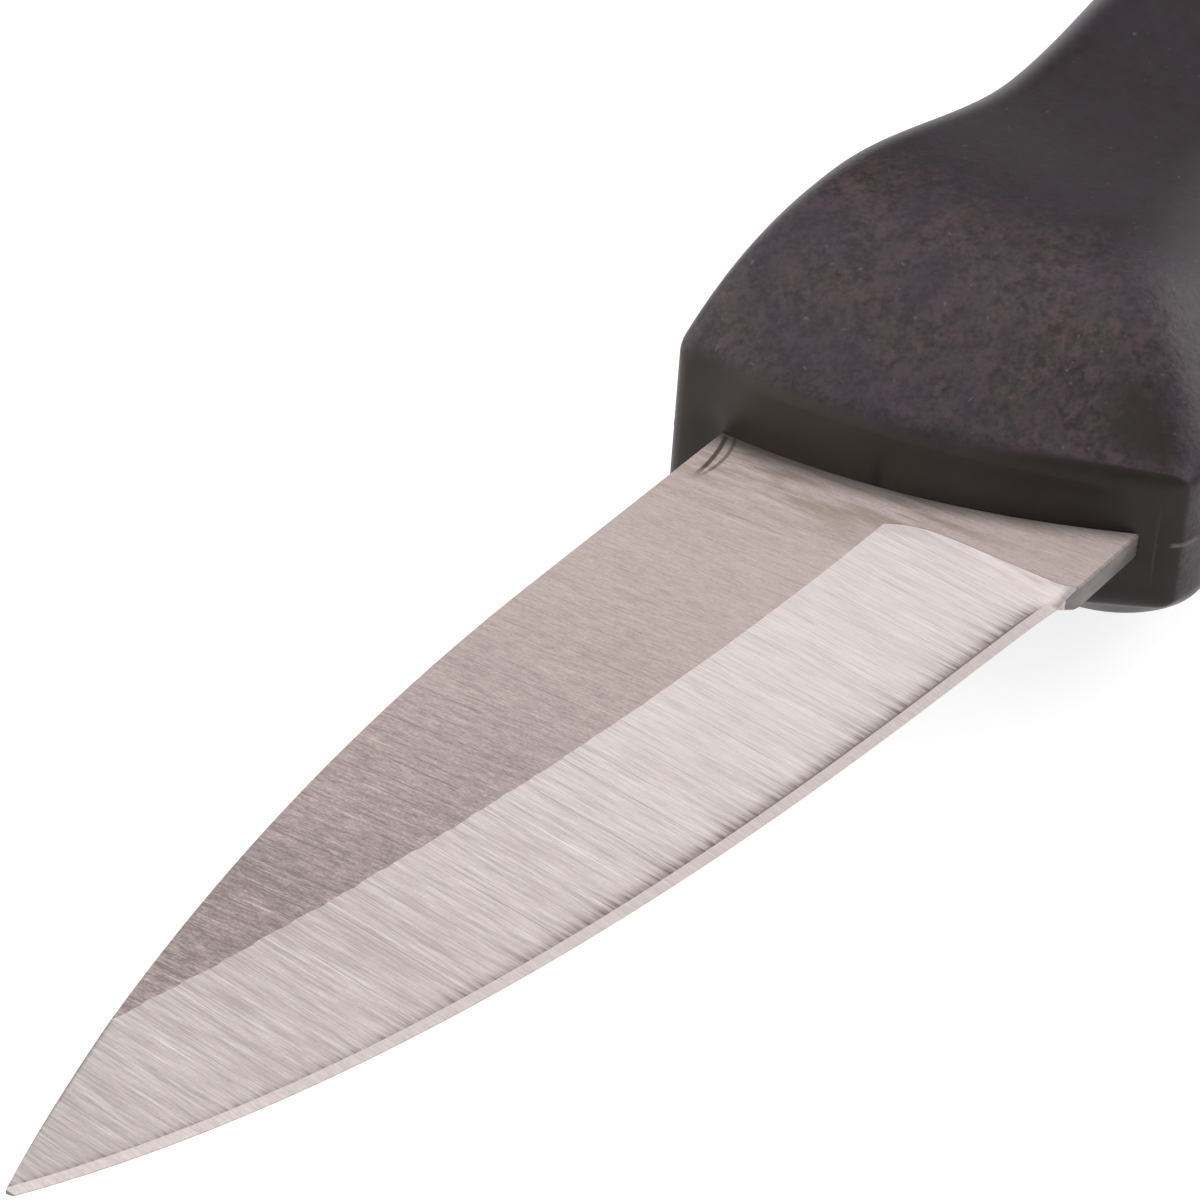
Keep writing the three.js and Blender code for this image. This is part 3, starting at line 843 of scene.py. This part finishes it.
def flat_steel():
    """The unground cheek, with a pair of fine scratches by the handle on its left side."""
    shader, uv, colour = steel("steel_flat", FLAT_LIGHT, FLAT_DARK, *FLAT_FINISH)
    along, across = split(shader, uv)[:2]
    marks = 0.0
    for curve, span, width, strength in SCRATCHES:
        mark = arc_mark(shader, along, across, curve, span, width)
        marks = shader.math("MULTIPLY_ADD", mark, strength, marks, clamp=True)
    height = split(shader, shader.add("ShaderNodeTexCoord").outputs["Object"])[2]
    left = shader.ramp(height, DRAWING_ORIGIN[2], DRAWING_ORIGIN[2] + BLADE_HALF * MM / 2)
    marks = shader.math("MULTIPLY", marks, left)

    # Tarnish by the handle, in soft streaks, and a band of painted shade and reflection of the handle where
    # the steel goes in
    lean = shader.math("POWER", shader.math("MAXIMUM", across, 0.0), MOUTH_LEAN_POWER)
    lean = shader.math("MULTIPLY_ADD", lean, MOUTH_LEAN / BLADE_HEIGHT**MOUTH_LEAN_POWER, MOUTH_DROP)
    ahead = shader.math("ADD", along, lean)
    streaks = shader.ramp(stroke_noise(shader, uv, TARNISH_STREAKS, 3.0), *TARNISH_RANGE)
    tarnish = shader.math("MULTIPLY", streaks, shader.ramp(ahead, *TARNISH_RUN, TARNISH_MOST, 0.0))
    tarnish = shader.math("MULTIPLY", tarnish, shader.ramp(across, *TARNISH_FADE, 1.0, TARNISH_LEFT))
    colour = shader.blend(tarnish, colour, TARNISH)
    # painted shade and reflection of the dark handle on the steel where it goes in
    colour = shader.blend(shader.ramp(ahead, 0.0, JUNCTION_SHADE_RUN, JUNCTION_SHADE_MOST, 0.0), colour, SCRATCH_AND_SHADE_DARK)

    # A thin painted shadow line beside the plunge
    behind = split(shader, uv_of(shader, "plunge"))[0]
    rim = shader.ramp(behind, *PLUNGE_SHADOW, 0.0, PLUNGE_SHADOW_MOST)
    below = shader.ramp(across, GRIND_DROP, GRIND_DROP + PLUNGE_SHADOW_START)
    colour = shader.blend(shader.math("MULTIPLY", rim, below), colour, SCRATCH_AND_SHADE_DARK)
    shader.feed(shader.surface.inputs["Base Color"], shader.blend(marks, colour, SCRATCH_AND_SHADE_DARK))
    return shader.material


def bevel_steel():
    """Ground bevel; burrs darken its strokes above the sharpened band, most over the rear half, with a
    painted shadow line along the band and painted shade in the hollow of the plunge.
    """
    shader, uv, colour = steel("steel_bevel", BEVEL_LIGHT, BEVEL_DARK, *BEVEL_FINISH)
    along, above = split(shader, uv)[:2]
    comb = shader.ramp(stroke_noise(shader, uv, BURR_COMB, 3.0, 0.7), *BURR_RANGE)
    groups = stroke_noise(shader, uv, BURR_GROUPS, 1.0, 0.5)
    length = shader.ramp(groups, *BURR_GROUP_RANGE, *BURR_LENGTHS)
    length = shader.math("MULTIPLY", length, shader.ramp(comb, 0.0, 1.0, BURR_SHORTEST, 1.0))
    length = shader.math("MULTIPLY", length, shader.ramp(along, *BURR_SHORTER, 1.0, BURR_TIP_SHARE))
    share = shader.math("DIVIDE", above, length, clamp=True)
    fade = shader.math("POWER", shader.math("SUBTRACT", 1.0, share), BURR_FADE_POWER)
    fade = shader.math("MULTIPLY", fade, comb)
    root = shader.ramp(above, 0.0, BURR_ROOT_HEIGHT, BURR_ROOT_MOST, 0.0)
    root = shader.math("MULTIPLY", root, shader.ramp(along, *BURR_ROOT_RUN, 1.0, BURR_TIP_SHARE))
    # painted shadow line right along the sharpened band
    line = shader.ramp(above, *BURR_SHADOW_LINE, BURR_SHADOW_LINE_MOST, 0.0)
    line = shader.math("MULTIPLY", line, shader.ramp(along, *BURR_SHADOW_LINE_RUN, 1.0, BURR_TIP_SHARE))
    mark = shader.math("MULTIPLY_ADD", fade, BURR_STRENGTH, root)
    mark = shader.math("MAXIMUM", mark, line, clamp=True)
    mark = shader.math("MULTIPLY", mark, shader.ramp(along, *BURR_START))
    # painted shade over the bright hollow of the plunge
    hollow = split(shader, uv_of(shader, "plunge"))[0]
    colour = shader.blend(shader.ramp(hollow, *HOLLOW_SHADE_BAND, HOLLOW_PAINTED_SHADE, 0.0), colour, BEVEL_DARK)
    shader.feed(shader.surface.inputs["Base Color"], shader.blend(mark, colour, BURR_AND_SHADOW))
    return shader.material


def micro_steel():
    """The sharpened band along the edge."""
    shader, _, colour = steel("steel_edge", MICRO_LIGHT, MICRO_DARK, *MICRO_FINISH)
    shader.feed(shader.surface.inputs["Base Color"], colour)
    return shader.material


def cut_steel():
    """The sheared lower face of the blank, its colours darkened as painted shade."""
    shader = Shader("steel_cut")
    tone = stroke_noise(shader, uv_of(shader, "strokes"), CUT_STROKES, 3.0)
    shader.surface.inputs["Metallic"].default_value = 1.0
    shader.surface.inputs["Roughness"].default_value = CUT_ROUGHNESS
    shader.feed(shader.surface.inputs["Base Color"], shader.blend(tone, CUT_SHADED_DARK, CUT_SHADED_LIGHT))
    return shader.material


GRIP_DARK = (0.0215, 0.0121, 0.0141, 1.0)
GRIP_LIGHT = (0.066, 0.0409, 0.045, 1.0)
GRIP_COOL = (0.0262, 0.0262, 0.0251, 1.0)
GRIP_VIOLET = (0.0315, 0.0199, 0.0356, 1.0)
# near-black colour of the painted shade round the waist
GRIP_WAIST_SHADE = (0.004, 0.003, 0.004, 1.0)
GRIP_SPECK = (0.1122, 0.0935, 0.0935, 1.0)
RIDGE_WORN = (0.22, 0.19, 0.19, 1.0)
CORE_DARK = (0.0095, 0.0062, 0.0048, 1.0)
CORE_LIGHT = (0.0525, 0.0405, 0.0355, 1.0)
# colour of the painted shade in the nick
NICK_SHADE = (0.012, 0.010, 0.009, 1.0)

# Noises of the plastics: scale per metre, detail and roughness
GRAIN = (3400.0, 1.0, 0.5)
PITS = (1700.0, 2.0, 0.55)
BLOTCH = (700.0, 2.0, 0.5)
GRIP_CLOUD = (160.0, 3.0, 0.55)
VIOLET = (230.0, 4.0, 0.65)
COOL = (800.0, 3.0, 0.65)
SPECKS = (2100.0, 1.0, 0.5)
CORE_CLOUD = (220.0, 4.0, 0.6)

# Weights of the grain's layers, and reach and strength of each tint
GRAIN_WEIGHT = 0.8
PITS_WEIGHT = 2.5
BLOTCH_WEIGHT = 1.7
CLOUD_WEIGHT = 0.8
VIOLET_RANGE = (0.34, 0.70)
VIOLET_MOST = 0.55
COOL_RANGE = (0.38, 0.74)
COOL_MOST = 0.5
SPECKS_RANGE = (0.70, 0.82)
SPECKS_MOST = 0.6

# The grain is worn smooth round the waist, and the smooth part runs out more slowly towards the butt; the
# waist is also darkened there as painted shade
WAIST_BACK = 30.0
WAIST_REAR_SHARE = 0.65
WAIST_GRAIN = (9.0, 18.0)
WAIST_GRAIN_LEFT = 0.25
WAIST_SHADE_SPAN = (11.0, 17.5)
WAIST_SHADED_LEVEL = 0.1
GRIP_LEVEL = 0.57
WAIST_SHADE = 0.3

# The grip's rim turns smooth where it faces forward, sooner on the edge side
RIM_FACING = (0.76, 0.97)
RIM_LOWER = (12.0, 23.0)
RIM_LOWER_MOST = 0.35

# The parting line is worn light on the edge side
WORN_HALF = (0.05, 0.2)
WORN_MOST = 0.8
WORN_BREAKS = (0.3, 0.6)
WORN_START = (12.0, 16.0)

PLASTIC_GLOSS = 0.3
GRIP_ROUGHNESS = 0.42
RIM_ROUGHNESS = 0.46
CORE_ROUGHNESS = (0.43, 0.49)
CORE_ROUGHNESS_TONES = (0.3, 0.7)
RELIEF_GRAIN = 0.5
RELIEF_DEPTH = 0.06
GRIP_RELIEF_STRENGTH = 0.5
CORE_RELIEF_STRENGTH = 0.3

# Front face: painted light by the spine, fading to painted shade towards the edge side, painted shade
# beyond the spine, with the painted shade of a small nick above the left cheek
CORE_LIGHT_TO_SHADE = (0.65, -0.1)
CORE_CLOUD_WEIGHT = 0.6
CORE_SPINE_HALF = 2.0
CORE_SPINE_SHADE = 0.6
NICK_ACROSS = 9.2
NICK_HALF = 0.55
NICK_MOST = 0.6
NICK_TOP = (1.5, 3.2)
NICK_FOOT = 0.2


def across_at(y):
    """The place across the knife, in metres, of a Y in the drawing frame."""
    return DRAWING_ORIGIN[1] + y * MM


def core_colour(shader, place):
    """Smooth black plastic, with painted light by the spine of the blade and painted shade towards the edge
    side and beyond the spine.
    """
    across = split(shader, place)[1]
    cloud = shader.noise(place, *CORE_CLOUD)
    # painted light by the spine fading to painted shade towards the edge side, and painted shade beyond the
    # spine
    painted_light_tone = shader.ramp(across, across_at(0.0), across_at(BLADE_HEIGHT), *CORE_LIGHT_TO_SHADE)
    beyond = (across_at(-CORE_SPINE_HALF), across_at(CORE_SPINE_HALF))
    painted_light_tone = shader.math("SUBTRACT", painted_light_tone, shader.ramp(across, *beyond, CORE_SPINE_SHADE, 0.0))
    tone = shader.math("MULTIPLY_ADD", cloud, CORE_CLOUD_WEIGHT, painted_light_tone, clamp=True)
    return shader.blend(tone, CORE_DARK, CORE_LIGHT), cloud


def grip_plastic():
    """Black plastic with a fine spark-eroded grain, worn light along the parting line."""
    shader = Shader("plastic_grained")
    place = shader.add("ShaderNodeTexCoord").outputs["Object"]
    grain = shader.noise(place, *GRAIN)
    pits = shader.noise(place, *PITS)
    blotch = shader.noise(place, *BLOTCH)
    cloud = shader.noise(place, *GRIP_CLOUD)
    along, across, height = split(shader, place)
    ahead = shader.math("SUBTRACT", along, DRAWING_ORIGIN[0] - WAIST_BACK * MM)
    from_waist = shader.math("MAXIMUM", ahead, shader.math("MULTIPLY", ahead, -WAIST_REAR_SHARE))
    grained = shader.ramp(from_waist, *lengths_in_metres(WAIST_GRAIN), WAIST_GRAIN_LEFT, 1.0)
    # darker tone round the waist: painted shade
    level = shader.ramp(from_waist, *lengths_in_metres(WAIST_SHADE_SPAN), WAIST_SHADED_LEVEL, GRIP_LEVEL)
    layers = (
        (grain, GRAIN_WEIGHT),
        (pits, PITS_WEIGHT),
        (blotch, BLOTCH_WEIGHT),
        (cloud, CLOUD_WEIGHT),
    )
    tone = layered(shader, 0.0, *layers)
    tone = shader.math("MULTIPLY_ADD", tone, grained, level, clamp=True)
    colour = shader.blend(tone, GRIP_DARK, GRIP_LIGHT)
    violet = shader.ramp(shader.noise(place, *VIOLET), *VIOLET_RANGE, 0.0, VIOLET_MOST)
    colour = shader.blend(violet, colour, GRIP_VIOLET)
    cool = shader.ramp(shader.noise(place, *COOL), *COOL_RANGE, 0.0, COOL_MOST)
    colour = shader.blend(cool, colour, GRIP_COOL)
    specks = shader.ramp(shader.noise(place, *SPECKS), *SPECKS_RANGE, 0.0, SPECKS_MOST)
    colour = shader.blend(specks, colour, GRIP_SPECK)
    # painted shade over the waist
    shade = shader.ramp(from_waist, *lengths_in_metres(WAIST_SHADE_SPAN), WAIST_SHADE, 0.0)
    colour = shader.blend(shade, colour, GRIP_WAIST_SHADE)

    # The rim turns smooth towards the front face
    facing = split(shader, shader.add("ShaderNodeTexCoord").outputs["Normal"])[0]
    lower = shader.ramp(across, *[across_at(y) for y in RIM_LOWER], 0.0, RIM_LOWER_MOST)
    front = shader.ramp(shader.math("ADD", facing, lower), *RIM_FACING)
    colour = shader.blend(front, colour, core_colour(shader, place)[0])

    off = shader.math("ABSOLUTE", shader.math("SUBTRACT", height, DRAWING_ORIGIN[2]))
    worn = shader.ramp(off, *lengths_in_metres(WORN_HALF), WORN_MOST, 0.0)
    worn = shader.math("MULTIPLY", worn, shader.ramp(blotch, *WORN_BREAKS))
    edge_side = shader.ramp(across, *[across_at(y) for y in WORN_START])
    colour = shader.blend(shader.math("MULTIPLY", worn, edge_side), colour, RIDGE_WORN)
    surface = shader.surface
    shader.feed(surface.inputs["Base Color"], colour)
    surface.inputs["Specular IOR Level"].default_value = PLASTIC_GLOSS
    shader.feed(surface.inputs["Roughness"], shader.ramp(front, 0.0, 1.0, GRIP_ROUGHNESS, RIM_ROUGHNESS))
    relief = layered(shader, 0.0, (grain, RELIEF_GRAIN), (pits, 1.0))
    share = shader.math("MULTIPLY", grained, shader.math("SUBTRACT", 1.0, front))
    relief = shader.math("MULTIPLY", relief, share)
    shader.feed(surface.inputs["Normal"], shader.bump(relief, RELIEF_DEPTH * MM, GRIP_RELIEF_STRENGTH))
    return shader.material


def core_plastic():
    """The front face: smooth black plastic with the painted shade of a small nick."""
    shader = Shader("plastic_smooth")
    surface = shader.surface
    surface.inputs["Specular IOR Level"].default_value = PLASTIC_GLOSS
    place = shader.add("ShaderNodeTexCoord").outputs["Object"]
    colour, cloud = core_colour(shader, place)
    across, height = split(shader, place)[1:3]
    beside = shader.math("SUBTRACT", across, across_at(NICK_ACROSS))
    above = shader.math("SUBTRACT", height, DRAWING_ORIGIN[2])
    # painted shade of a small nick above the left cheek
    nick = shader.ramp(shader.math("ABSOLUTE", beside), 0.0, NICK_HALF * MM, NICK_MOST, 0.0)
    nick = shader.math("MULTIPLY", nick, shader.ramp(above, *lengths_in_metres(NICK_TOP), 1.0, 0.0))
    nick = shader.math("MULTIPLY", nick, shader.ramp(above, 0.0, NICK_FOOT * MM))
    colour = shader.blend(nick, colour, NICK_SHADE)
    shader.feed(surface.inputs["Base Color"], colour)
    shader.feed(surface.inputs["Roughness"], shader.ramp(cloud, *CORE_ROUGHNESS_TONES, *CORE_ROUGHNESS))
    shader.feed(surface.inputs["Normal"], shader.bump(cloud, RELIEF_DEPTH * MM, CORE_RELIEF_STRENGTH))
    return shader.material


blade = blade_mesh([flat_steel(), bevel_steel(), micro_steel(), cut_steel()])
add_piece("blade_steel", blade, "blade")
add_piece("core_nose", core_mesh(core_plastic()), "handle_core")
add_piece("grip_skin", grip_mesh(grip_plastic()), "handle_grip")

# Stage

WHITE = (1.0, 1.0, 1.0, 1.0)
FLOOR_HALF = 6.0  # metres
FLOOR_GAP = 0.02
FLOOR_COLOUR = (0.35, 0.35, 0.35, 1.0)
FLOOR_GLOW = 0.83
SKY_HORIZON = 1.0
SKY_DIM = 0.04
STRIP_FADE = (0.06, 0.12)  # the white strip at the horizon fades between these heights
WIDE = (0.72, 0.97)  # the glow round a soft box fades between these cosines
NARROW = (0.88, 0.985)
# Soft boxes: direction, brightness and fade
SOFT_BOXES = (
    ((0.7, -0.2, 0.7), 0.68, WIDE),
    ((0.0, -0.4, 0.92), 1.22, WIDE),
    ((0.0, -0.9, 0.4), 0.85, WIDE),
    ((0.6, -0.7, 0.4), 1.47, WIDE),
    ((0.1, 0.9, 0.42), 0.55, WIDE),
    ((-0.72, 0.35, 0.6), 2.4, NARROW),
    ((-0.85, 0.05, 0.5), 1.15, NARROW),
    ((-0.4, 0.6, 0.69), 1.8, NARROW),
)


def add_floor():
    mesh = bpy.data.meshes.new("floor")
    corners = []
    for x, y in ((-1, -1), (1, -1), (1, 1), (-1, 1)):
        corners.append((x * FLOOR_HALF, y * FLOOR_HALF, cad_low.z - FLOOR_GAP * MM))
    mesh.from_pydata(corners, [], [(0, 1, 2, 3)])
    shader = Shader("floor_white")
    shader.surface.inputs["Base Color"].default_value = FLOOR_COLOUR
    shader.surface.inputs["Roughness"].default_value = 1.0
    shader.surface.inputs["Specular IOR Level"].default_value = 0.0
    shader.surface.inputs["Emission Color"].default_value = WHITE
    path = shader.add("ShaderNodeLightPath")
    seen = shader.math("MAXIMUM", path.outputs["Is Camera Ray"], path.outputs["Is Glossy Ray"])
    seen = shader.math("MAXIMUM", seen, path.outputs["Is Transmission Ray"])
    shader.feed(shader.surface.inputs["Emission Strength"], shader.math("MULTIPLY", seen, FLOOR_GLOW))
    mesh.materials.append(shader.material)
    floor = bpy.data.objects.new("floor", mesh)
    bpy.context.scene.collection.objects.link(floor)


def add_sky():
    """A studio's surround: a white strip at the horizon, dim above it, and large soft boxes."""
    world = bpy.data.worlds.new("studio")
    world.use_nodes = True
    nodes, links = world.node_tree.nodes, world.node_tree.links

    def fall(source, low, high, to_low, to_high):
        node = nodes.new("ShaderNodeMapRange")
        node.interpolation_type = "SMOOTHSTEP"
        node.inputs["From Min"].default_value = low
        node.inputs["From Max"].default_value = high
        node.inputs["To Min"].default_value = to_low
        node.inputs["To Max"].default_value = to_high
        links.new(source, node.inputs["Value"])
        return node.outputs["Result"]

    def join(operation, first, second):
        node = nodes.new("ShaderNodeMath")
        node.operation = operation
        links.new(first, node.inputs[0])
        links.new(second, node.inputs[1])
        return node.outputs[0]

    place = nodes.new("ShaderNodeTexCoord").outputs["Generated"]
    parts = nodes.new("ShaderNodeSeparateXYZ")
    links.new(place, parts.inputs[0])
    level = fall(parts.outputs[2], *STRIP_FADE, SKY_HORIZON, SKY_DIM)
    for direction, brightness, fade in SOFT_BOXES:
        towards = nodes.new("ShaderNodeVectorMath")
        towards.operation = "DOT_PRODUCT"
        links.new(place, towards.inputs[0])
        towards.inputs[1].default_value = Vector(direction).normalized()
        glow = fall(towards.outputs["Value"], *fade, 0.0, brightness)
        level = join("ADD", level, glow)
    links.new(level, nodes["Background"].inputs["Strength"])
    nodes["Background"].inputs["Color"].default_value = WHITE
    bpy.context.scene.world = world


def add_camera():
    data = bpy.data.cameras.new("camera")
    data.lens = CAMERA_LENS
    data.sensor_width = CAMERA_SENSOR
    data.clip_start = CAMERA_NEAR
    camera = bpy.data.objects.new("camera", data)
    camera.location = in_metres(CAMERA_AT)
    camera.rotation_euler = Euler([math.radians(turn) for turn in CAMERA_TURN_DEG])
    bpy.context.scene.collection.objects.link(camera)
    bpy.context.scene.camera = camera


add_floor()
add_sky()
add_camera()
bpy.context.scene.view_settings.view_transform = "Standard"
